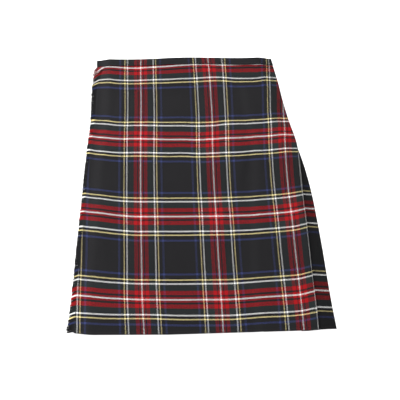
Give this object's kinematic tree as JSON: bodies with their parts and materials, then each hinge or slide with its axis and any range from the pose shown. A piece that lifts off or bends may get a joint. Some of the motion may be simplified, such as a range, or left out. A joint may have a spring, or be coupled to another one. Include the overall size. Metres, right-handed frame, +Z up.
{
  "type": "scottish kilt laid flat",
  "caption": "Wrap kilt lying flat on its pleated back, with the fringed over-apron on top and a deep side pleat at one side.",
  "frame": {"origin": "on the floor, under the middle of the part's bounding box", "axes": "+Y from hem to waist, +X to the viewer's right with the front facing up, +Z up"},
  "size_m": [0.5363, 0.6053, 0.0177],
  "materials": {
    "tartan_apron": "twill-woven tartan, black ground with red, green, blue, yellow and white stripes, soft matt nap",
    "fringe_yarn": "loose weft yarns in the colours of the stripes they come from",
    "tartan_side": "the same twill tartan, mostly its black block",
    "tartan_under": "the same twill tartan",
    "tartan_back": "the same twill tartan, pressed in knife pleats",
    "tartan_band": "a strip of the same twill tartan with its stripes running on",
    "fastening_tape": "plain black woven fastening tape"
  },
  "bodies": {
    "root": {"over_apron": "tartan_apron", "apron_fringe": "fringe_yarn", "side_pleat": "tartan_side", "under_apron": "tartan_under", "back_pleats": "tartan_back", "front_band": "tartan_band", "under_band": "tartan_band", "back_band": "tartan_band", "closure_loop": "fastening_tape", "closure_hook": "fastening_tape"}
  },
  "joints": []
}
